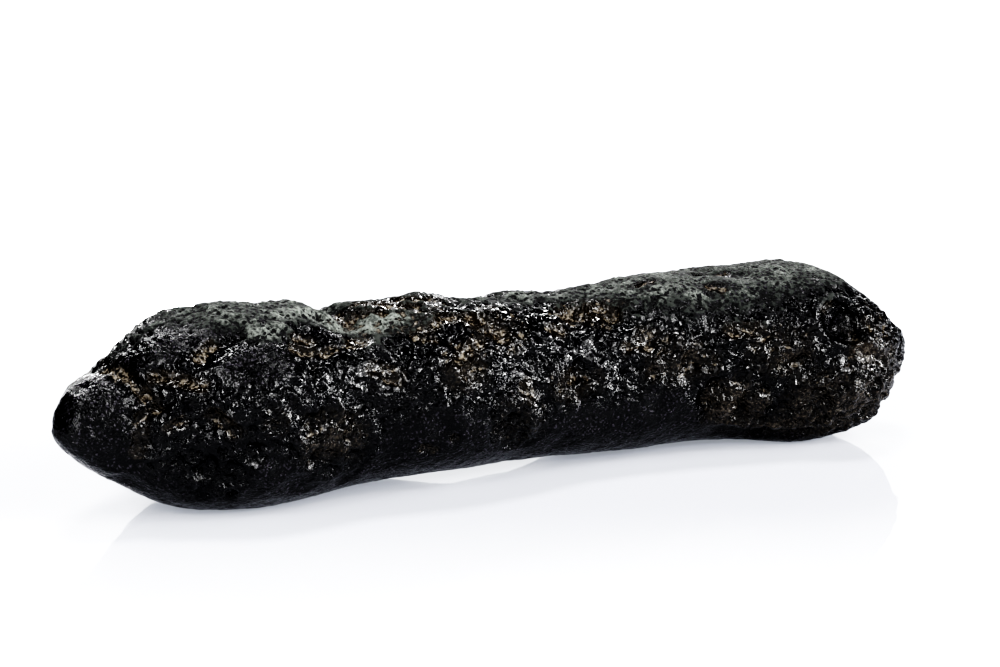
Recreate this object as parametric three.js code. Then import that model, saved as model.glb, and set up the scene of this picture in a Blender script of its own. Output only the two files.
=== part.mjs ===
// A tektite: one rod of natural black-brown glass, thrown out molten by a meteorite impact
// and later etched by the soil that it lay in. It has a rounded nose with a cap marked off
// by a groove, a waist that stands clear of the ground, and a stubby end with flaked edges.
//
// Millimetres, +Z up. X runs along the rod from the nose (-X) to the flaked end (+X), and
// -Y is its front. It lies on its side: the origin is under the middle of its bounding box.

import * as THREE from 'three';
import { mergeVertices } from 'three/addons/utils/BufferGeometryUtils.js';
import { ImprovedNoise } from 'three/addons/math/ImprovedNoise.js';

// Driving dimensions
const LENGTH = 100;          // of the finished rod, which is drawn below at this size
const SETTLE = 0.3;          // depth worn off the underside to leave the flats that it rests on
const WIDTH_TO_HEIGHT = 1.04;
const SQUARENESS = 2.2;      // exponent of the cross-section, where 2 is an ellipse

// The rod's outline: along x, the centre (y, z) of each cross-section and half its height
const STATIONS = [
  { x: -50.0, y: -3.2, z: 11.7, half: 0.0 },   // tip of the nose
  { x: -49.5, y: -3.1, z: 11.7, half: 1.7 },
  { x: -48.0, y: -2.6, z: 11.5, half: 3.4 },
  { x: -45.5, y: -1.2, z: 11.0, half: 4.9 },
  { x: -41.5, y: 0.6, z: 10.6, half: 7.4 },    // behind the cap
  { x: -36.0, y: 1.4, z: 10.7, half: 10.3 },   // shoulder
  { x: -28.0, y: -0.5, z: 10.9, half: 10.8 },  // thickest part
  { x: -18.0, y: 0.0, z: 10.6, half: 9.8 },
  { x: -8.0, y: -0.6, z: 10.6, half: 9.7 },
  { x: 2.0, y: 0.8, z: 10.4, half: 9.3 },      // waist
  { x: 12.0, y: 1.4, z: 9.7, half: 9.2 },
  { x: 22.0, y: 1.6, z: 10.2, half: 9.7 },
  { x: 32.0, y: -0.2, z: 10.2, half: 10.1 },
  { x: 39.0, y: -2.6, z: 10.2, half: 10.1 },   // where the end starts to fall away
  { x: 44.5, y: -3.7, z: 9.4, half: 7.7 },
  { x: 47.5, y: -4.5, z: 9.3, half: 4.8 },
  { x: 49.4, y: -5.0, z: 9.7, half: 2.3 },
  { x: 50.0, y: -5.0, z: 10.0, half: 0.0 },    // the flaked end
];

// Mesh: rows of quads along the rod, and quads across each side of a section
const ROWS = 74;
const QUADS_PER_SIDE = 15;

// Places on the surface are [x, turn]: turn is in degrees round the rod, where 0 is the top,
// 90 the front, 180 the underside and 270 the back. Sizes are millimetres.

// Broad swellings: the middle, the radius and the height, which is negative for a dip
const SWELLINGS = [
  { at: [-40, 350], radius: 5, height: 0.4 },
  { at: [-34, 75], radius: 8, height: 0.5 },
  { at: [-22, 350], radius: 3.5, height: 0.6 },
  { at: [-26, 350], radius: 2.5, height: -0.3 },
  { at: [-31, 350], radius: 3.5, height: 0.4 },
  { at: [-11, 10], radius: 6, height: 0.3 },
  { at: [-1.5, 342], radius: 5, height: -0.8 },
  { at: [4.5, 350], radius: 4, height: 0.4 },
  { at: [-8, 350], radius: 4, height: 0.4 },
  { at: [20, 10], radius: 8, height: 0.5 },
  { at: [-12, 115], radius: 9, height: -0.6 },
  { at: [15, 110], radius: 10, height: 0.4 },
  { at: [33, 140], radius: 6, height: 0.6 },
  { at: [41, 20], radius: 6, height: 0.2 },
  { at: [-25, 270], radius: 9, height: 0.6 },
  { at: [4, 285], radius: 8, height: -0.7 },
  { at: [26, 265], radius: 10, height: 0.6 },
  { at: [40, 300], radius: 6, height: -0.6 },
];

// Grooves and gouges: a path over the surface, half its width and its depth
const GROOVES = [
  // the groove that marks off the cap of the nose, and its branch down the front
  { path: [[-45.2, 330], [-43.9, 1], [-42.5, 37], [-41.1, 57], [-39.8, 72]], reach: 1.4, depth: 0.9 },
  { path: [[-41.3, 70], [-42, 89], [-41.7, 104], [-41.4, 120]], reach: 1.4, depth: 0.6 },
  // crescents on the shoulder
  { path: [[-39.2, 44], [-37.8, 54], [-34, 61]], reach: 1.4, depth: 0.8 },
  { path: [[-35.2, 47], [-33.8, 36], [-30.8, 29]], reach: 1.5, depth: 0.8 },
  { path: [[-36.5, 74], [-33.1, 88], [-31, 97]], reach: 1.5, depth: 0.8 },
  // steps across the top
  { path: [[-31, 24], [-27.2, 33], [-24.4, 30]], reach: 1.3, depth: 0.5 },
  { path: [[-19.8, 325], [-18.4, 352], [-17.2, 15]], reach: 1.7, depth: 1.9 },
  { path: [[-20, 350], [-17, 18], [-12, 32]], reach: 3, depth: 0.8 },
  { path: [[27, 350], [28.5, 5], [31, 12]], reach: 1.3, depth: 0.7 },
  { path: [[24.8, 38], [26, 46], [28, 49]], reach: 1.3, depth: 0.6 },
  { path: [[17.4, 42], [18.3, 52], [17.2, 63]], reach: 1.3, depth: 0.6 },
  // the undercut above the lower lobe, near the flaked end
  { path: [[25.5, 133], [30, 139], [35, 138], [40, 133], [43, 127]], reach: 1.5, depth: 1.1 },
  // the underside's arch, which holds the waist clear of the ground
  { path: [[-4, 203], [4, 203]], reach: 7.5, depth: 1.4 },
  // edges of the flakes
  { path: [[47.6, 60], [47.2, 85], [47, 112], [46, 135]], reach: 1.1, depth: 0.8 },
  { path: [[45, 95], [44.4, 112], [43.2, 128]], reach: 1.1, depth: 0.6 },
  { path: [[49.2, 85], [48.9, 115], [48.6, 150]], reach: 1.0, depth: 0.8 },
  { path: [[48.2, 300], [46.8, 270], [45.2, 235]], reach: 1.3, depth: 0.8 },
  // the back
  { path: [[-41, 300], [-40.4, 275], [-41.2, 245], [-42, 215]], reach: 1.5, depth: 0.8 },
  { path: [[-33, 325], [-30, 308], [-26, 300]], reach: 1.5, depth: 0.8 },
  { path: [[-14, 290], [-10, 278], [-8, 262]], reach: 1.5, depth: 0.8 },
  { path: [[10, 322], [14, 308], [19, 303]], reach: 1.5, depth: 0.8 },
  { path: [[33, 262], [37, 250], [42, 246]], reach: 1.5, depth: 0.9 },
];

// Bowls left by broken bubbles: radius, depth, and the height of the rim round them
const BOWLS = [
  { at: [38.4, 58], radius: 4.0, depth: 1.3, rim: 0.3 },
  { at: [27, 111], radius: 2.4, depth: 0.9, rim: 0.3 },
  { at: [31.7, 116], radius: 1.8, depth: 0.7, rim: 0.2 },
  { at: [-1.5, 100], radius: 2.2, depth: 0.8, rim: 0.3 },
  { at: [-23.3, 43], radius: 3.4, depth: 1.0, rim: 0.2 },
  { at: [-1.3, 40], radius: 2.6, depth: 0.9, rim: 0.2 },
  { at: [8.2, 31], radius: 2.4, depth: 0.8, rim: 0.2 },
  { at: [12.8, 33], radius: 2.6, depth: 0.9, rim: 0.2 },
  { at: [-7.9, 47], radius: 2.2, depth: 0.8, rim: 0.2 },
  { at: [-29.6, 97], radius: 2.4, depth: 0.9, rim: 0.2 },
  { at: [-24.6, 90], radius: 2.6, depth: 0.8, rim: 0.2 },
  { at: [-23.0, 108], radius: 2.2, depth: 0.7, rim: 0.2 },
  { at: [-34.3, 110], radius: 2.2, depth: 0.8, rim: 0.2 },
  { at: [-15, 68], radius: 2.2, depth: 0.7, rim: 0.2 },
  { at: [7, 78], radius: 2.4, depth: 0.7, rim: 0.2 },
  { at: [20, 86], radius: 2.2, depth: 0.7, rim: 0.2 },
  { at: [33, 88], radius: 2.4, depth: 0.8, rim: 0.2 },
  { at: [-31, 285], radius: 3.2, depth: 1.0, rim: 0.3 },
  { at: [-2, 300], radius: 3.0, depth: 0.9, rim: 0.2 },
  { at: [22, 290], radius: 3.6, depth: 1.1, rim: 0.3 },
  { at: [38, 285], radius: 2.6, depth: 0.9, rim: 0.2 },
  { at: [-19, 245], radius: 2.6, depth: 0.8, rim: 0.2 },
  { at: [11, 240], radius: 2.8, depth: 0.8, rim: 0.2 },
];

// Etch pits, scattered over the flanks; the crown and the underside have few
const PIT_COUNT = 120;
const PIT_RADIUS = [1.8, 2.7];
const PIT_DEPTH = [0.3, 0.6];
const PIT_SEED = 11;

// Waviness of the whole skin: its wavelength and height
const WAVES = [
  { length: 13, height: 0.6 },
  { length: 5.5, height: 0.3 },
];

const material = new THREE.MeshStandardMaterial({
  name: 'tektite glass', color: 0x171614, roughness: 0.35, metalness: 0,
});

// ---------------------------------------------------------------------------------------
// The bare rod

const spine = stationCurve((station) => new THREE.Vector3(station.x, station.y, station.z));
const profile = stationCurve((station) => new THREE.Vector3(station.x, station.half, 0));

function stationCurve(toPoint) {
  const curve = new THREE.CatmullRomCurve3(STATIONS.map(toPoint), false, 'catmullrom');
  curve.arcLengthDivisions = 1000;
  return curve;
}

// A superellipse's version of a sine or cosine
function squared(ratio) {
  return Math.sign(ratio) * Math.abs(ratio) ** (2 / SQUARENESS);
}

// The point of the bare rod at curve parameter t, turned round it by so many degrees
function rodPoint(t, turn) {
  const centre = spine.getPoint(t);
  const half = Math.max(profile.getPoint(t).y, 0);
  const angle = THREE.MathUtils.degToRad(turn);
  centre.y -= half * WIDTH_TO_HEIGHT * squared(Math.sin(angle));
  centre.z += half * squared(Math.cos(angle)) - SETTLE;
  return centre;
}

// The curve parameter at which the rod reaches x, found by halving
function parameterAt(x) {
  let low = 0;
  let high = 1;
  for (let step = 0; step < 30; step += 1) {
    const middle = (low + high) / 2;
    if (spine.getPoint(middle).x < x) low = middle;
    else high = middle;
  }
  return low;
}

function skinPoint([x, turn]) {
  return rodPoint(parameterAt(x), turn);
}

// The turn at which a point (across, up) of a square section lies, 90 degrees for each side
function turnOnSquare(across, up) {
  if (Math.abs(up) >= Math.abs(across)) return (up > 0 ? 0 : 180) - 45 * across / up;
  return (across < 0 ? 90 : 270) + 45 * up / across;
}

// A box's grid drawn out into the rod, so both ends close without a pole
function makeRod() {
  const box = new THREE.BoxGeometry(2, 2, 2, ROWS, QUADS_PER_SIDE, QUADS_PER_SIDE);
  box.deleteAttribute('normal');
  box.deleteAttribute('uv');
  const rod = mergeVertices(box);
  const capRows = QUADS_PER_SIDE / 2;
  const places = rod.attributes.position;
  const corner = new THREE.Vector3();
  for (let i = 0; i < places.count; i += 1) {
    corner.fromBufferAttribute(places, i);
    const outwards = Math.max(Math.abs(corner.y), Math.abs(corner.z));
    const pastTheRim = corner.x === 1 ? 2 * (1 - outwards) : 0;
    const row = capRows * (outwards + pastTheRim) + ROWS * (corner.x + 1) / 2;
    const t = profile.getUtoTmapping(row / (ROWS + 2 * capRows));
    const point = rodPoint(t, turnOnSquare(corner.y, corner.z));
    places.setXYZ(i, point.x, point.y, point.z);
  }
  rod.computeVertexNormals();
  return rod;
}

// ---------------------------------------------------------------------------------------
// Relief: each kind of mark gives how far the skin moves out at a point

// 1 at the middle of a mark, falling smoothly to 0 at its edge
function hump(ratio) {
  return ratio < 1 ? (1 - ratio * ratio) ** 2 : 0;
}

function swelling({ at, radius, height }) {
  const centre = skinPoint(at);
  return (point) => height * hump(point.distanceTo(centre) / radius);
}

function bowl({ at, radius, depth, rim }) {
  const centre = skinPoint(at);
  return (point) => {
    const ratio = point.distanceTo(centre) / radius;
    return rim * hump(Math.abs(ratio - 1.2) / 0.5) - depth * hump(ratio);
  };
}

function groove({ path, reach, depth }) {
  const points = new THREE.CatmullRomCurve3(path.map(skinPoint)).getPoints(6 * path.length);
  return (point) => {
    const nearest = Math.min(...points.map((step) => step.distanceTo(point)));
    return -depth * hump(nearest / reach);
  };
}

// How strongly the skin is pitted at a turn: full on the flanks, little above and below
function pitting(turn) {
  const fromFlank = Math.min(Math.abs(turn - 80), Math.abs(turn - 280));
  return THREE.MathUtils.clamp(1.6 - fromFlank / 40, 0, 1);
}

function pits() {
  const { lerp, seededRandom } = THREE.MathUtils;
  const marks = [];
  seededRandom(PIT_SEED);
  while (marks.length < PIT_COUNT) {
    const x = lerp(STATIONS[1].x, STATIONS.at(-2).x, seededRandom());
    const turn = 360 * seededRandom();
    const radius = lerp(...PIT_RADIUS, seededRandom());
    const depth = lerp(...PIT_DEPTH, seededRandom());
    if (seededRandom() < pitting(turn)) marks.push(bowl({ at: [x, turn], radius, depth, rim: 0.1 }));
  }
  return marks;
}

function wave({ length, height }) {
  const noise = new ImprovedNoise();
  return (point) => height * noise.noise(point.x / length, point.y / length, point.z / length);
}

// Carves the marks into the rod, and wears it flat where it would dip below the ground
function carve(rod) {
  const marks = [
    ...WAVES.map(wave), ...SWELLINGS.map(swelling), ...GROOVES.map(groove), ...BOWLS.map(bowl),
    ...pits(),
  ];
  const places = rod.attributes.position;
  const normals = rod.attributes.normal;
  const point = new THREE.Vector3();
  const outwards = new THREE.Vector3();
  for (let i = 0; i < places.count; i += 1) {
    point.fromBufferAttribute(places, i);
    outwards.fromBufferAttribute(normals, i);
    const height = marks.reduce((sum, mark) => sum + mark(point), 0);
    point.addScaledVector(outwards, height);
    places.setXYZ(i, point.x, point.y, Math.max(point.z, 0));
  }
  rod.deleteAttribute('normal');
  return rod;
}

// Brings the rod to its full length, with the origin under the middle of its box
function centre(rod) {
  rod.computeBoundingBox();
  const { min, max } = rod.boundingBox;
  rod.translate(-(min.x + max.x) / 2, -(min.y + max.y) / 2, -min.z);
  const scale = LENGTH / (max.x - min.x);
  rod.scale(scale, scale, scale);
  return rod;
}

const tektite = new THREE.Mesh(centre(carve(makeRod())), material);
tektite.name = 'tektite';

const group = new THREE.Group();
group.add(tektite);

export default group;
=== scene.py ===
import math

import bmesh
import bpy
import numpy as np
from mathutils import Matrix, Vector


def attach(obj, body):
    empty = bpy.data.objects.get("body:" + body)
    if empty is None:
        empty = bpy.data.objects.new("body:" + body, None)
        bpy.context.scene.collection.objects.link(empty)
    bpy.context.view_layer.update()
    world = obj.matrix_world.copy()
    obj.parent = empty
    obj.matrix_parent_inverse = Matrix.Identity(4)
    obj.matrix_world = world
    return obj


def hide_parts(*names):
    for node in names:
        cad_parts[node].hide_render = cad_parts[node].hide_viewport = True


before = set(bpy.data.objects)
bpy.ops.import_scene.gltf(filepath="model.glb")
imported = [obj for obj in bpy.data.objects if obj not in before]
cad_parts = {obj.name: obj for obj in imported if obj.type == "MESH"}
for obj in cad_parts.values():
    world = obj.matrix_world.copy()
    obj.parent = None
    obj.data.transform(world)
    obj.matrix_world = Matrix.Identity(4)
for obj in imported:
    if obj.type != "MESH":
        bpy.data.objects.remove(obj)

bl_info = {
    "name": "Tektite",
    "version": (1, 0, 0),
    "blender": (4, 5, 0),
    "location": "3D View > Sidebar > Tektite",
    "description": "A rod of etched natural glass on a glossy white table",
    "category": "Object",
}

MM = 0.001
NODE = "tektite"
BOWL_REACH = 0.62  # where a bowl ends, as a share of its width


# ------------------------------------------------------------------------------------------
# Node trees


class Value:
    """A socket that can be used in arithmetic: each operator adds a Math node."""

    def __init__(self, tree, socket):
        self.tree = tree
        self.socket = socket

    def math(self, operation, *others):
        return self.tree.add("ShaderNodeMath", {"operation": operation}, self, *others)

    def __add__(self, other):
        return self.math("ADD", other)

    def __mul__(self, other):
        return self.math("MULTIPLY", other)

    def __sub__(self, other):
        return self.math("SUBTRACT", other)

    def __rsub__(self, other):
        return self.tree.add("ShaderNodeMath", {"operation": "SUBTRACT"}, other, self)

    def __truediv__(self, other):
        return self.math("DIVIDE", other)

    def __rtruediv__(self, other):
        return self.tree.add("ShaderNodeMath", {"operation": "DIVIDE"}, other, self)

    def __pow__(self, other):
        return self.math("POWER", other)

    __radd__ = __add__
    __rmul__ = __mul__

    def clamped(self):
        return self.tree.add("ShaderNodeClamp", {}, self)

    def ramp(self, low, high):
        """0 below low, 1 above high, and smooth between them."""
        settings = {"interpolation_type": "SMOOTHSTEP"}
        return self.tree.add("ShaderNodeMapRange", settings, self, low, high, 0.0, 1.0)


class Tree:
    """Adds nodes to a shader or geometry tree."""

    def __init__(self, tree):
        self.tree = tree

    def add(self, kind, settings, *inputs, output=0, **named):
        """A node with its settings, then its inputs by place and by name."""
        node = self.tree.nodes.new(kind)
        for name, setting in settings.items():
            setattr(node, name, setting)
        enabled = [socket for socket in node.inputs if socket.enabled]
        for socket, value in zip(enabled, inputs):
            self.feed(socket, value)
        for name, value in named.items():
            title = name.replace("_", " ").title()
            self.feed(next(s for s in enabled if s.name.title() == title), value)
        outputs = [socket for socket in node.outputs if socket.enabled]
        if not outputs:
            return None
        if isinstance(output, str):
            return Value(self, next(s for s in outputs if s.name == output))
        return Value(self, outputs[output])

    def feed(self, socket, value):
        if isinstance(value, Value):
            self.tree.links.new(value.socket, socket)
        else:
            socket.default_value = value

    def mix(self, factor, first, second):
        """Between two colours."""
        return self.add("ShaderNodeMix", {"data_type": "RGBA"}, factor, first, second)

    def blend(self, factor, first, second):
        """Between two numbers."""
        return self.add("ShaderNodeMix", {"data_type": "FLOAT"}, factor, first, second)

    def vector(self, operation, *inputs, output=0, **named):
        """Arithmetic on vectors."""
        return self.add("ShaderNodeVectorMath", {"operation": operation}, *inputs, output=output,
                        **named)

    def scaled(self, vector, factor):
        return self.vector("SCALE", vector, scale=factor)

    def askew(self, vector):
        """A vector turned so that no row of the noise lies along or across the rod."""
        return self.add("ShaderNodeVectorRotate", {"rotation_type": "EULER_XYZ"}, vector,
                        rotation=(0.5, 0.8, 0.3))

    def warp(self, vector, scale, amount):
        """A vector pushed about by noise."""
        swirl = self.noise(vector, scale, 3.0, 0.55, output="Color")
        push = self.vector("SUBTRACT", swirl, (0.5, 0.5, 0.5))
        return self.vector("ADD", vector, self.scaled(push, amount))

    def bowls(self, vector, width, shallowest):
        """Round bowls of uneven depth that meet in sharp ridges: 1 in the middle of the deepest."""
        at = self.scaled(vector, 1.0 / width)
        distance = self.add("ShaderNodeTexVoronoi", {}, at, scale=1.0, output="Distance")
        shade = self.add("ShaderNodeTexVoronoi", {}, at, scale=1.0, output="Color")
        chance = self.add("ShaderNodeSeparateXYZ", {}, shade)
        return (1.0 - (distance / BOWL_REACH) ** 2.0).clamped() * chance.ramp(shallowest, 1.0)

    def noise(self, vector, scale, detail, roughness, output="Fac"):
        return self.add("ShaderNodeTexNoise", {}, vector, scale=scale, detail=detail,
                        roughness=roughness, output=output)


# ------------------------------------------------------------------------------------------
# Where the rod's skin is pitted, frosted or dirty


class Skin:
    """Places on the rod: x in millimetres, and the turn round its middle in degrees.

    The turn is 0 on top, 90 in front, 180 underneath and 270 behind.
    """

    SLABS = 40  # along the rod, for finding its middle

    def __init__(self, mesh):
        count = len(mesh.vertices)
        points = np.empty(3 * count)
        mesh.vertices.foreach_get("co", points)
        points = points.reshape(-1, 3) / MM
        x, y, z = points.T
        edges = np.linspace(x.min(), x.max(), self.SLABS + 1)
        middles = (edges[1:] + edges[:-1]) / 2
        slab = np.clip(np.digitize(x, edges) - 1, 0, self.SLABS - 1)
        spans = [points[slab == k, 1:] for k in range(self.SLABS)]
        axis = np.array([(span.max(0) + span.min(0)) / 2 for span in spans])
        across = y - np.interp(x, middles, axis[:, 0])
        up = z - np.interp(x, middles, axis[:, 1])
        self.x = x
        self.radius = np.hypot(across, up)
        self.turn = np.degrees(np.arctan2(-across, up)) % 360

    def past(self, turn):
        """Degrees from a turn to each point, from -180 to 180."""
        return (self.turn - turn + 180) % 360 - 180

    def patch(self, x, turn, along, around):
        """1 in an oval patch that is so many millimetres along and around, fading out."""
        arc = np.radians(self.past(turn)) * self.radius
        return smooth_step(np.hypot((self.x - x) / along, arc / around), 1.6, 0.6)

    def distance(self, x, turn, end_x, end_turn):
        """Millimetres over the skin to the line from one place to another."""
        line_along, line_around = end_x - x, np.radians(end_turn - turn) * self.radius
        along, around = self.x - x, np.radians(self.past(turn)) * self.radius
        length = np.maximum(line_along ** 2 + line_around ** 2, 1e-9)
        part = np.clip((along * line_along + around * line_around) / length, 0, 1)
        return np.hypot(along - part * line_along, around - part * line_around)

    def patches(self, places):
        """The strongest of some patches at each point."""
        return np.max([self.patch(*place) for place in places], axis=0)


def smooth_step(values, low, high):
    t = np.clip((values - low) / (high - low), 0, 1)
    return t * t * (3 - 2 * t)


# Along x, how many degrees to each side of the top the frosted crown ends (its pale colour is
# partly real film and partly a painted sheen of the lit top), and the etching
CROWN_EDGE = [
    (-50, -20), (-44, -10), (-41, -4), (-38, 4), (-35, 14), (-32, 22), (-28, 32), (-26, 30),
    (-25, 22), (-22, 18), (-19, 24), (-15, 34), (-12, 20), (-8, 8), (0, 6), (4, 14), (8, 6),
    (12, 10), (16, 30), (22, 41), (30, 43), (35, 30), (42, 12), (50, 0),
]
ETCHED_EDGE = [
    (-50, 112), (-46, 118), (-42, 112), (-38, 126), (-35, 136), (-32, 128), (-30, 104), (-27, 108),
    (-24, 126), (-18, 124), (-16, 98), (-12, 90), (-7, 92), (-4, 104), (0, 110), (4, 106),
    (7, 96), (14, 93), (19, 94), (22, 118), (27, 126), (31, 134), (38, 146), (50, 150),
]
# Troughs in the skin: x and turn of each end, how far they reach and how deep they are in
# millimetres, and how much soil lies in them. The ends of a round one are the same place, and one
# with a negative depth is a filling.
TROUGHS = [
    (-43.6, 8, -40, 70, 0.7, 0.21, 0.7), (-41.3, 76, -41.9, 104, 0.8, 0.18, 0.6),
    (-39.6, 48, -35.4, 62, 0.7, 0.25, 1), (-35.2, 44, -33.2, 36, 0.6, 0.35, 1),
    (-34.6, 78, -32.4, 90, 0.8, 0.42, 0.55), (-39, 84, -37.6, 80, 0.6, 0.28, 0.6),
    (-25.2, 44, -23.2, 46, 0.7, 0.4, 0.9), (-23.4, 56, -23.4, 68, 0.6, 0.42, 0.3),
    (-24.6, 36, -23, 40, 0.7, 0.35, 0.8), (-22, 48, -20.8, 46, 0.6, 0.3, 0.9),
    (-18.8, 42, -17.4, 38, 0.8, 0.35, 1), (-28.5, 84, -28.5, 84, 1.6, 0.36, 0.4),
    (-26, 80, -26, 80, 1.3, 0.32, 0.3), (-24.6, 90, -24.6, 90, 1.6, 0.36, 0.4),
    (-22.5, 84, -22.5, 84, 1.4, 0.32, 0.3), (-21, 97, -21, 97, 1.7, 0.4, 0.5),
    (-24.5, 108, -24.5, 108, 1.5, 0.36, 0.4), (-19.5, 110, -19.5, 110, 1.4, 0.36, 0.4),
    (-36.5, 98, -36.5, 98, 1, 0.35, 0.2), (-34.5, 104, -34.5, 104, 1.1, 0.3, 0.2),
    (-36, 114, -36, 114, 1, 0.35, 0.2), (-33.8, 118, -33.8, 118, 1.2, 0.36, 0.2),
    (-35.2, 128, -35.2, 128, 1.1, 0.3, 0.2), (-32.6, 128, -32.6, 128, 0.9, 0.28, 0.2),
    (-17, 60, -14.5, 66, 0.9, 0.15, 0.8), (-11.4, 38, -9.8, 46, 0.6, 0.35, 0.9),
    (-10.4, 36, -9, 34, 0.8, 0.35, 0.9), (-7.6, 62, -5, 52, 0.9, 0.49, 1),
    (-7, 70, -5.4, 68, 0.9, 0.35, 0.8), (-4.2, 34, -2, 44, 1.6, 0.54, 1),
    (-8, 28, -6.4, 30, 0.9, 0.35, 0.9), (0.4, 80, 0.6, 88, 0.8, 0.2, 0.8),
    (39, 80, 42, 84, 0.5, 0.15, 0.9), (36.4, 50, 37.4, 46, 0.5, 0.15, 0.6),
    (-0.4, 104, -0.4, 104, 3.2, -0.8, 0.4), (-11.8, 116, -10.6, 118, 0.6, 0.35, 0.6),
    (-8.4, 111, -8.4, 111, 0.5, 0.21, 0.6), (7.4, 28, 8.6, 26, 1.2, 0.42, 1),
    (9.6, 30, 11, 30, 1.3, 0.48, 1), (12.2, 30, 13, 34, 1.1, 0.42, 1),
    (4.8, 44, 6, 46, 0.7, 0.28, 0.9), (13.3, 62, 13.3, 62, 0.7, 0.28, 0.8),
    (15.8, 58, 15.8, 58, 1.6, 0.54, 0.7), (25.6, 62, 28.6, 62, 0.9, 0.35, 0.8),
    (20.6, 78, 22.6, 80, 1.3, 0.48, 0.6), (16, 82, 16, 82, 1, 0.35, 0.6),
    (9.4, 78, 9.4, 78, 0.8, 0.28, 0.5), (24.8, 106, 24.8, 106, 2.4, -0.8, 0.7),
    (28.4, 108, 28.4, 108, 1.6, -0.7, 0.6), (25, 118, 29, 120, 0.8, 0.35, 0.2),
    (31.6, 84, 31.6, 84, 1.2, 0.36, 0.8), (38.4, 58, 38.4, 58, 2.7, 1.2, 0.3),
    (37.4, 50, 37.4, 50, 1.3, 0.24, 0.3), (39.2, 66, 39.2, 66, 1.2, 0.24, 0.3),
    (39.6, 76, 41.6, 80, 0.9, 0.35, 1), (43.5, 88, 43.5, 88, 0.9, 0.35, 0.6),
    (42, 58, 42, 58, 1, 0.35, 0.7), (25.5, 8, 28.8, 4, 0.8, 0.42, 0.5),
    (17.6, 14, 19.4, 14, 0.6, 0.35, 0.6), (25.4, 26, 26.6, 30, 0.8, 0.42, 0.5),
    (32.6, 2, 32.6, 2, 0.4, 0.21, 0.3), (-21, 18, -17.5, 36, 1.8, 0.6, 0),
    (-17, 8, -13.5, 14, 0.7, 0.3, 1), (-15.5, -2, -12, 4, 0.7, 0.3, 1),
    (-12.5, 10, -9.5, 8, 0.7, 0.3, 1), (-10.5, -2, -7.5, 2, 0.7, 0.3, 0.9),
    (-43, 350, -40.5, 290, 0.7, 0.2, 0.5), (-36, 310, -32, 300, 0.8, 0.35, 0.9),
    (-26, 296, -24, 288, 0.8, 0.35, 0.9), (-18, 318, -15, 312, 0.7, 0.3, 0.8),
    (-6, 300, -3, 306, 0.9, 0.4, 0.9), (4, 316, 7, 320, 0.8, 0.35, 0.9),
    (13, 296, 15, 290, 0.9, 0.4, 0.8), (21, 312, 24, 306, 0.8, 0.35, 0.9),
    (31, 300, 33, 308, 0.9, 0.4, 0.9), (40, 290, 42, 284, 0.8, 0.35, 0.8),
]
# Patches of skin: x and turn of the middle, and how far they reach along and around, in
# millimetres. The large hollows are deep in coarse patches, and the etching is faint in fine ones.
COARSE = [
    (-22, 100, 5.5, 5), (-35, 116, 4, 5), (26, 104, 4, 3), (43, 85, 5, 8), (35, 128, 7, 3),
    (37, 108, 6, 4), (-20, 285, 5, 4), (18, 280, 6, 4), (38, 280, 5, 5),
]
FINE = [
    (-46, 75, 4, 9), (-38, 28, 5, 2.5), (-29, 54, 5, 2.5), (38.4, 58, 1.5, 1.8), (31, 10, 13, 4.5),
]
BARE = [(-12, 3, 6.5, 1.9), (-22, 36, 3, 1), (27, 6, 3, 1), (18.5, 14, 1.5, 0.8), (26, 28, 2, 1)]
DIRTY = [
    (-12.5, 10, 7, 4), (43, 92, 4, 8), (33, 134, 9, 3), (37, 112, 6, 5), (26, 112, 4, 4),
    (-1, 38, 3, 4), (10, 30, 5, 2.5), (19, 76, 4, 3), (31, 76, 4, 3), (-22, 96, 4, 3),
    (6, 84, 3, 2), (-7, 66, 3, 3), (-30, 300, 5, 3), (-5, 305, 6, 3), (22, 302, 6, 3),
    (40, 285, 4, 4),
]
# Patches where the frost is thicker and paler, which also paints a brighter sheen there, and by how
# much
THICK_AND_SHEEN = [
    (-27, 32, 2.5, 1.2, 0.4), (-22.5, 14, 3.5, 1.4, 0.4), (-17.5, 18, 4, 2, 0.42),
    (-13.5, 27, 4, 1.6, 0.4), (15, -2, 9, 2.5, 0.1), (25, 12, 8, 4.5, 0.13), (35, 12, 8, 5, 0.1),
]


def mark_skin(mesh):
    """Stores how etched, coarse, frosted, sunken and dirty the skin is at each point; the frosted
    crown also carries a painted sheen.
    """
    skin = Skin(mesh)
    turn = np.abs(skin.past(0))
    crown_edge = np.interp(skin.x, *zip(*CROWN_EDGE))
    etched_edge = np.interp(skin.x, *zip(*ETCHED_EDGE))
    # The top of the rod gets the frost, whose pale colour is partly real film and partly a painted
    # sheen of light from above and behind
    frosted = smooth_step(crown_edge - turn, -30, 12)
    frosted = frosted * (1 - 0.8 * skin.patches(BARE))
    frosted = frosted + np.max([much * skin.patch(*place) for *place, much in THICK_AND_SHEEN], axis=0)
    etched = smooth_step(etched_edge - turn, -12, 12) * (1 - 0.4 * frosted)
    sunken = np.zeros(len(turn))
    dirty = 0.6 * skin.patches(DIRTY)
    # Where troughs overlap, the deepest holds
    for *ends, reach, depth, soil in TROUGHS:
        near = skin.distance(*ends) / reach
        # A low lip runs round each bowl
        lip = np.clip(1 - ((near - 1.15) / 0.25) ** 2, 0, 1)
        bowl = depth * (np.clip(1 - near ** 2, 0, 1) - 0.25 * lip)
        sunken = np.where(np.abs(bowl) > np.abs(sunken), bowl, sunken)
        dirty = np.maximum(dirty, soil * smooth_step(near, 1.6, 0.9))
        etched = np.maximum(etched, smooth_step(near, 1.5, 1.0))
    etched = etched * (1 - 0.7 * skin.patches(FINE))
    store(mesh, "etched", etched)
    store(mesh, "coarse", skin.patches(COARSE))
    store(mesh, "frosted", frosted)
    store(mesh, "sunken", sunken)
    store(mesh, "dirty", dirty)


def store(mesh, name, values):
    layer = mesh.attributes.new(name, "FLOAT", "POINT")
    layer.data.foreach_set("value", values.astype(np.float32))


# ------------------------------------------------------------------------------------------
# Etched relief


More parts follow.
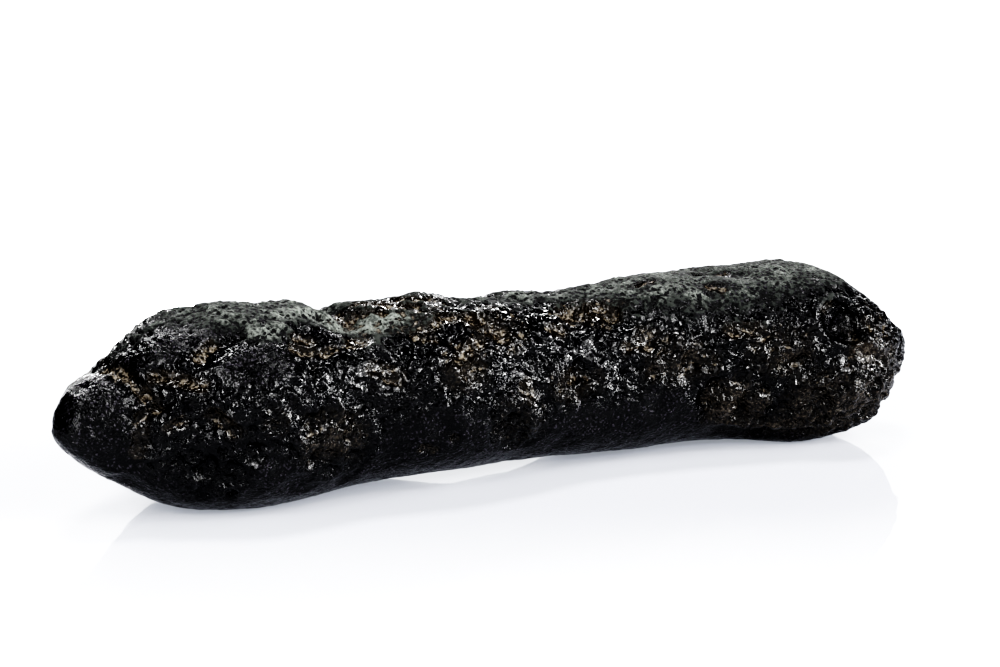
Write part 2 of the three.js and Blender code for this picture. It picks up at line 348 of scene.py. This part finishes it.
# The relief's inputs, and the settings that they come from
RELIEF_SIZES = {"Bowl Width": "bowl_width", "Bowl Depth": "bowl_depth", "Pit Width": "pit_width",
                "Pit Depth": "pit_depth", "Ruffle": "ruffle"}


def relief_tree(material):
    """Geometry nodes that sink bowls into the skin and note how hollow each point is."""
    group = bpy.data.node_groups.new("etched relief", "GeometryNodeTree")
    group.interface.new_socket("Geometry", in_out="INPUT", socket_type="NodeSocketGeometry")
    for name in RELIEF_SIZES:
        group.interface.new_socket(name, in_out="INPUT", socket_type="NodeSocketFloat")
    group.interface.new_socket("Geometry", in_out="OUTPUT", socket_type="NodeSocketGeometry")
    tree = Tree(group)

    def marked(name):
        return tree.add("GeometryNodeInputNamedAttribute", {"data_type": "FLOAT"}, name)

    inputs = group.nodes.new("NodeGroupInput")
    sizes = {socket.name: Value(tree, socket) for socket in inputs.outputs if socket.name}

    place = tree.askew(tree.scaled(tree.add("GeometryNodeInputPosition", {}), 1 / MM))
    warped = tree.warp(place, 0.35, 2.2)
    cloud = tree.noise(place, 0.5, 4.0, 0.6)
    busy = (marked("etched") + (cloud - 0.5) * 1.2).ramp(0.1, 0.8)

    # How far the skin sinks, in millimetres
    large = tree.bowls(warped, sizes["Bowl Width"], 0.1) * sizes["Bowl Depth"]
    small = tree.bowls(warped, sizes["Pit Width"], 0.1) * sizes["Pit Depth"]
    ruffle = (tree.noise(place, 0.8, 4.0, 0.7) - 0.5) * sizes["Ruffle"] * 2.0
    large = large * (marked("coarse") * 0.85 + busy * 0.15)
    height = (ruffle - small) * (busy * 0.8 + 0.2) - large - marked("sunken")
    normal = tree.add("GeometryNodeInputNormal", {})
    moved = tree.add("GeometryNodeSetPosition", {}, Value(tree, inputs.outputs["Geometry"]),
                     offset=tree.scaled(normal, height * MM))

    # A point is hollow where its neighbours' average lies above it
    position = tree.add("GeometryNodeInputPosition", {})
    blurred = tree.add("GeometryNodeBlurAttribute", {"data_type": "FLOAT_VECTOR"}, position,
                       iterations=5)
    above = tree.vector("SUBTRACT", blurred, position)
    facing = tree.add("GeometryNodeInputNormal", {})
    hollow = tree.vector("DOT_PRODUCT", above, facing, output="Value") * (1 / MM)
    rise = tree.add("ShaderNodeSeparateXYZ", {}, facing, output="Z")
    for name, value in (("hollow", hollow), ("rise", rise), ("busy", busy)):
        settings = {"data_type": "FLOAT", "domain": "POINT"}
        moved = tree.add("GeometryNodeStoreNamedAttribute", settings, moved, name=name,
                         value=value)
    real = tree.add("GeometryNodeRealizeInstances", {}, moved)
    shaded = tree.add("GeometryNodeSetMaterial", {}, real, material=material)
    output = group.nodes.new("NodeGroupOutput")
    tree.feed(output.inputs["Geometry"], shaded)
    return group


# ------------------------------------------------------------------------------------------
# Materials


def glass_material(settings):
    """Black glass: glossy in the pits, frosted on the crown, with soil in the hollows. The frost's
    pale colour also paints the sheen that the lit crown shows.
    """
    material = bpy.data.materials.new("tektite glass")
    material.use_nodes = True
    material.node_tree.nodes.clear()
    tree = Tree(material.node_tree)

    def attribute(name):
        return tree.add("ShaderNodeAttribute", {"attribute_name": name}, output="Fac")

    rod = tree.scaled(tree.add("ShaderNodeTexCoord", {}, output="Object"), 1 / MM)
    place = tree.askew(rod)
    busy = attribute("busy")
    frosted = attribute("frosted")
    dirty = attribute("dirty")
    hollow = attribute("hollow")
    rise = attribute("rise")

    cloud = tree.noise(place, 0.5, 4.0, 0.6)
    speckle = tree.noise(place, 2.2, 4.0, 0.65)
    grain = tree.noise(place, 3.2, 2.0, 0.5)
    churned = tree.warp(place, 1.2, 0.5)
    pits = tree.bowls(churned, 0.5, 0.0)
    specks = tree.bowls(churned, 0.32, 0.2)

    # Frost coats what is flat on the crown, and its pale colour also paints the sheen of the lit
    # top. Small dark pits prick it, and it is left off the hollows, so they read dark: bare glass
    # and painted shade.
    coat_and_sheen = frosted * 2.4 - 1.1 + (cloud - 0.5) * 2.2 + (grain - 0.5) * 2.5 - hollow * 7.0
    coat_and_sheen = coat_and_sheen.ramp(0.0, 0.8) * frosted.ramp(0.02, 0.2)
    pricked = pits * 0.8 + (speckle - 0.5) * 2.0 + (grain - 0.5) * 1.5 + hollow * 3.0
    pricked = (pricked + (1.0 - frosted) * 0.5).ramp(-0.05, 0.25)
    frost_and_sheen = coat_and_sheen * (1.0 - pricked * 0.97)

    # Soil lies on ledges in the hollows, and as a thin crust low down
    ledge = (hollow * 8.0 + (speckle - 0.5) * 1.6).ramp(0.3, 0.8) * rise.ramp(0.15, 0.6)
    soil = ledge * dirty.ramp(0.25, 0.6) * (0.15 + (grain - pits * 0.15).ramp(0.38, 0.6) * 0.85)
    low = 1.0 - rise.ramp(-0.5, 0.3)
    crust = (dirty + speckle - 0.5).ramp(0.3, 0.8) * low * busy * (0.3 + grain.ramp(0.4, 0.6) * 0.7)
    soil = soil + crust * 0.5 * (1.0 - soil)

    # Dust settles on the smooth skin, and the frost's film is paler where it is thick, which paints
    # a brighter sheen there
    dust = (specks * 0.8 + grain - 0.5).ramp(0.1, 0.7) * (1.0 - busy * 0.7)
    tint = tree.mix((dirty * 0.5 + speckle - 0.5).ramp(0.1, 0.7),
                    tree.mix(dust, settings.glass_colour, settings.dust_colour),
                    settings.tint_colour)
    thick_and_sheen = speckle * 0.65 + grain + cloud * 0.8 + frosted * 0.5 - 1.21
    film_and_sheen = tree.mix(thick_and_sheen.ramp(0.38, 0.85), settings.frost_and_sheen_colour, settings.pale_frost_and_sheen_colour)
    soil_tone = tree.mix(grain.ramp(0.35, 0.65), settings.soil_colour, settings.pale_soil_colour)
    colour = tree.mix(soil, tree.mix(frost_and_sheen, tint, film_and_sheen), soil_tone)

    # Glass that was etched is the glossiest
    bare = tree.blend(busy, 0.22, tree.blend(speckle.ramp(0.4, 0.65), 0.06, 0.13))
    roughness = tree.blend(soil, tree.blend(coat_and_sheen, bare, 0.85), 0.3)

    # Granules and pits where the skin is busy, and drawn streaks where it is smooth
    drawn = tree.vector("MULTIPLY", rod, (1.5, 3.0, 3.0))
    streaks = tree.noise(tree.askew(drawn), 1.0, 2.0, 0.5)
    granules = tree.noise(place, 1.5, 1.0, 0.4)
    lively = busy * (0.5 + cloud.ramp(0.42, 0.58) * 0.5) * (1.0 + low * 1.2)
    relief = granules * 0.1 * lively - pits * 0.13 * (lively + frosted * 0.3)
    relief = relief + (streaks * 0.1 + grain * 0.13) * (1.0 - busy * 0.9) + grain * frosted * 0.1
    bump = tree.add("ShaderNodeBump", {}, strength=1.0, distance=MM, height=relief, output="Normal")

    surface = tree.add("ShaderNodeBsdfPrincipled", {}, base_color=colour, roughness=roughness,
                       ior=1.5, specular_ior_level=0.25, normal=bump)
    tree.add("ShaderNodeOutputMaterial", {}, surface)
    return material


def table_material(settings):
    """Glossy white acrylic that glows: a dim glow under the rod paints its shade on the table, and
    a brighter glow beside it paints light around it.
    """
    material = bpy.data.materials.new("white acrylic")
    material.use_nodes = True
    material.node_tree.nodes.clear()
    tree = Tree(material.node_tree)
    place = tree.scaled(tree.add("ShaderNodeTexCoord", {}, output="Object"), 1 / MM)
    # Millimetres from the line that runs under the rod, to either side
    apart = tree.vector("DOT_PRODUCT", place, (0.39, 0.92, 0.0), output="Value") - 8.0
    beside = apart.math("ABSOLUTE").ramp(20.0, 52.0)
    # The glow is dim along the rod as painted shade, and bright beside it as painted light
    glow = tree.mix(beside, settings.painted_shade_glow_colour, settings.painted_light_glow_colour)
    surface = tree.add("ShaderNodeBsdfPrincipled", {}, base_color=settings.table_colour,
                       roughness=0.03, ior=1.5, emission_color=glow,
                       emission_strength=settings.glow)
    tree.add("ShaderNodeOutputMaterial", {}, surface)
    return material


# ------------------------------------------------------------------------------------------
# Settings


def colour_property(name, description, default):
    return bpy.props.FloatVectorProperty(name=name, description=description, size=4,
                                         subtype="COLOR", min=0.0, max=1.0, default=default)


def size_property(name, description, millimetres):
    return bpy.props.FloatProperty(name=name, description=description, unit="LENGTH", min=0.0,
                                   default=millimetres * MM)


class TektiteSettings(bpy.types.PropertyGroup):
    """Sizes and colours of the glass."""

    glass_colour: colour_property("Glass", "Bare glass", (0.006, 0.006, 0.0065, 1.0))
    tint_colour: colour_property("Tint", "Browner glass", (0.014, 0.011, 0.008, 1.0))
    # The frost colours are partly the film's own and partly a painted sheen of the lit crown
    frost_and_sheen_colour: colour_property("Frost", "Thin film on the crown", (0.03, 0.032, 0.03, 1.0))
    pale_frost_and_sheen_colour: colour_property("Pale frost", "Thick film", (0.16, 0.169, 0.157, 1.0))
    dust_colour: colour_property("Dust", "Specks on bare glass", (0.038, 0.0355, 0.041, 1.0))
    soil_colour: colour_property("Soil", "Soil left in the hollows", (0.036, 0.027, 0.019, 1.0))
    pale_soil_colour: colour_property("Pale soil", "Dry soil", (0.13, 0.116, 0.097, 1.0))
    bowl_width: size_property("Bowl width", "Across the large hollows", 2.8)
    bowl_depth: size_property("Bowl depth", "How deep the large hollows are", 1.0)
    pit_width: size_property("Pit width", "Across the small pits", 1.4)
    pit_depth: size_property("Pit depth", "How deep the small pits are", 0.55)
    ruffle: size_property("Ruffle", "How uneven the skin is between pits", 0.7)


class TektiteStageSettings(bpy.types.PropertyGroup):
    """The table, the lights and the camera."""

    table_colour: colour_property("Table", "Acrylic table", (0.377, 0.38, 0.405, 1.0))
    # The table's glow is dimmer under the rod as painted shade, and brighter beside it as painted
    # light
    painted_shade_glow_colour: colour_property("Glow", "Light from below, under the rod",
                                 (0.3, 0.315, 0.34, 1.0))
    painted_light_glow_colour: colour_property("Side glow", "Light from below, beside the rod",
                                      (0.74, 0.765, 0.79, 1.0))
    glow: bpy.props.FloatProperty(name="Glow strength", default=0.6, min=0.0,
                                  description="Strength of the light from below")
    lens: bpy.props.FloatProperty(name="Lens", description="Focal length in millimetres",
                                  default=85.0)
    pitch: bpy.props.FloatProperty(name="Pitch", description="How far the camera looks down",
                                   default=math.radians(15.0), subtype="ANGLE")
    azimuth: bpy.props.FloatProperty(name="Azimuth", description="How far the camera stands "
                                     "to the left", default=math.radians(-23.0), subtype="ANGLE")
    camera_height: bpy.props.FloatProperty(name="Camera height", description="Above the table",
                                           default=0.0827, unit="LENGTH")


# ------------------------------------------------------------------------------------------
# Pieces


def copy_of_node(name):
    """A closed mesh of quads from the frame's triangles."""
    build = bmesh.new()
    build.from_mesh(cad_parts[name].data)
    bmesh.ops.remove_doubles(build, verts=build.verts, dist=0.002 * MM)
    bmesh.ops.join_triangles(build, faces=build.faces, angle_face_threshold=math.pi,
                             angle_shape_threshold=math.pi)
    made = bpy.data.meshes.new("tektite skin")
    build.to_mesh(made)
    build.free()
    return made


def evaluated_mesh(piece):
    """The piece's mesh with its modifiers applied."""
    graph = bpy.context.evaluated_depsgraph_get()
    evaluated = piece.evaluated_get(graph)
    return bpy.data.meshes.new_from_object(evaluated, preserve_all_data_layers=True,
                                           depsgraph=graph)


class TEKTITE_OT_skin(bpy.types.Operator):
    """Makes the tektite"""

    bl_idname = "tektite.skin"
    bl_label = "Tektite"

    def execute(self, context):
        material = glass_material(context.scene.tektite)
        piece = bpy.data.objects.new("tektite_skin", copy_of_node(NODE))
        context.scene.collection.objects.link(piece)
        smoother = piece.modifiers.new("Subdivision", "SUBSURF")
        smoother.levels = 2
        smoother.render_levels = 2
        fine = evaluated_mesh(piece)
        piece.modifiers.clear()
        piece.data = fine
        mark_skin(fine)
        relief = piece.modifiers.new("Relief", "NODES")
        relief.node_group = relief_tree(material)
        for item in relief.node_group.interface.items_tree:
            if item.name in RELIEF_SIZES:
                size = getattr(context.scene.tektite, RELIEF_SIZES[item.name])
                relief[item.identifier] = size / MM
        etched = evaluated_mesh(piece)
        piece.modifiers.clear()
        piece.data = etched
        etched.shade_smooth()
        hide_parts(NODE)
        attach(piece, "root")
        return {"FINISHED"}


class TEKTITE_OT_stage(bpy.types.Operator):
    """Makes the table, the lights and the camera"""

    bl_idname = "tektite.stage"
    bl_label = "Table, lights and camera"

    def execute(self, context):
        settings = context.scene.tektite_stage
        make_table(context, settings)
        make_lights(context)
        make_camera(context, settings)
        make_world(context)
        set_contrast(context)
        return {"FINISHED"}


TABLE_SIZE = 3.0


def make_table(context, settings):
    half = TABLE_SIZE / 2
    mesh = bpy.data.meshes.new("table")
    corners = [(-half, -half, 0), (half, -half, 0), (half, half, 0), (-half, half, 0)]
    mesh.from_pydata(corners, [], [(0, 1, 2, 3)])
    mesh.materials.append(table_material(settings))
    table = bpy.data.objects.new("table", mesh)
    context.scene.collection.objects.link(table)


def area_light(context, name, place, target, size, brightness):
    """A lamp with a flat face that the camera doesn't see."""
    light = bpy.data.lights.new(name, "AREA")
    light.shape = "RECTANGLE"
    light.size, light.size_y = size
    light.energy = brightness * math.pi * size[0] * size[1]
    lamp = bpy.data.objects.new(name, light)
    lamp.location = place
    lamp.rotation_euler = (Vector(target) - Vector(place)).to_track_quat("-Z", "Y").to_euler()
    lamp.visible_camera = False
    context.scene.collection.objects.link(lamp)


# Name, place, what it points at and size in metres, and how bright its face is
LAMPS = [
    ("left softbox", (-0.5, -0.35, 0.45), (0, 0, 0), (0.5, 0.5), 3.5),
    ("right softbox", (0.42, -0.45, 0.45), (0, 0, 0), (0.5, 0.5), 4.3),
    ("rear softbox", (0.1, 0.75, 0.55), (0, 0, 0), (0.4, 0.3), 1.5),
    ("fill", (-0.1, -0.9, 0.35), (0, 0, 0), (0.8, 0.4), 1.5),
    ("left lamp", (-0.45, -0.3, 0.42), (0, 0, 0), (0.08, 0.08), 36.0),
    ("right lamp", (0.38, -0.4, 0.42), (0, 0, 0), (0.07, 0.07), 54.0),
    ("low left lamp", (-0.5, -0.42, 0.3), (0, 0, 0), (0.09, 0.09), 28.0),
    ("low right lamp", (0.35, -0.55, 0.3), (0, 0, 0), (0.07, 0.07), 62.0),
    ("side lamp", (0.6, -0.2, 0.14), (0, 0, 0), (0.08, 0.08), 60.0),
    ("left table lamp", (-0.45, -0.45, 0.12), (0, 0, 0), (0.06, 0.06), 50.0),
    ("right table lamp", (0.52, -0.34, 0.12), (0, 0, 0), (0.06, 0.06), 90.0),
    ("rear left lamp", (-0.1, 0.6, 0.45), (0, 0, 0), (0.09, 0.09), 45.0),
    ("rear right lamp", (0.35, 0.5, 0.35), (0, 0, 0), (0.09, 0.09), 45.0),
    ("rear table lamp", (0.1, 0.6, 0.12), (0, 0, 0), (0.06, 0.06), 40.0),
    ("panel", (0.0, 0.1, 0.65), (0, 0, 0), (0.22, 0.12), 26.0),
    ("backdrop", (0.45, 1.2, 0.45), (0, 0, 0.2), (1.7, 0.85), 1.45),
]


def make_lights(context):
    """Softboxes that light the skin, small lamps that glint in the pits, and a pale backdrop."""
    for lamp in LAMPS:
        area_light(context, *lamp)


# Deepens the blacks: light in, light out
CONTRAST = [(0.0, 0.0), (0.03, 0.002), (0.06, 0.014), (0.1, 0.066), (0.2, 0.27), (0.4, 0.65),
            (0.7, 0.9), (1.0, 1.0)]


def set_contrast(context):
    view = context.scene.view_settings
    view.view_transform = "Standard"
    view.use_curve_mapping = True
    curve = view.curve_mapping.curves[3]
    for place in CONTRAST[1:-1]:
        curve.points.new(*place)
    view.curve_mapping.update()


ROOM_LIGHT = 0.04
WALL_LIGHT = 1.5  # as the camera sees it


def make_world(context):
    world = bpy.data.worlds.new("studio")
    world.use_nodes = True
    world.node_tree.nodes.clear()
    tree = Tree(world.node_tree)
    seen = tree.add("ShaderNodeLightPath", {}, output="Is Camera Ray")
    strength = tree.blend(seen, ROOM_LIGHT, WALL_LIGHT)
    light = tree.add("ShaderNodeBackground", {}, (1.0, 1.0, 1.0, 1.0), strength)
    tree.add("ShaderNodeOutputWorld", {}, light)
    context.scene.world = world


AIM = Vector((23.15, 52.38, 0.0)) * MM  # where the camera's axis meets the table


def make_camera(context, settings):
    pitch, azimuth = settings.pitch, settings.azimuth
    back = Vector((math.sin(azimuth) * math.cos(pitch), -math.cos(azimuth) * math.cos(pitch),
                   math.sin(pitch)))
    camera = bpy.data.objects.new("camera", bpy.data.cameras.new("camera"))
    camera.data.lens = settings.lens
    camera.data.sensor_width = 36.0
    camera.data.clip_start = 0.01
    camera.location = AIM + back * (settings.camera_height / math.sin(pitch))
    camera.rotation_euler = (-back).to_track_quat("-Z", "Y").to_euler()
    context.scene.collection.objects.link(camera)
    context.scene.camera = camera


class TEKTITE_PT_panel(bpy.types.Panel):
    """Lists the tektite's operators"""

    bl_idname = "TEKTITE_PT_panel"
    bl_label = "Tektite"
    bl_space_type = "VIEW_3D"
    bl_region_type = "UI"
    bl_category = "Tektite"

    def draw(self, context):
        for settings, operator in ((context.scene.tektite, TEKTITE_OT_skin),
                                   (context.scene.tektite_stage, TEKTITE_OT_stage)):
            box = self.layout.box()
            for name in settings.bl_rna.properties.keys():
                if name not in {"rna_type", "name"}:
                    box.prop(settings, name)
            box.operator(operator.bl_idname)


CLASSES = (TektiteSettings, TektiteStageSettings, TEKTITE_OT_skin, TEKTITE_OT_stage,
           TEKTITE_PT_panel)


def register():
    for item in CLASSES:
        bpy.utils.register_class(item)
    bpy.types.Scene.tektite = bpy.props.PointerProperty(type=TektiteSettings)
    bpy.types.Scene.tektite_stage = bpy.props.PointerProperty(type=TektiteStageSettings)


def unregister():
    del bpy.types.Scene.tektite_stage
    del bpy.types.Scene.tektite
    for item in reversed(CLASSES):
        bpy.utils.unregister_class(item)


def main():
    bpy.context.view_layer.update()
    register()
    bpy.ops.tektite.stage()
    bpy.ops.tektite.skin()


if __name__ == "__main__":
    main()
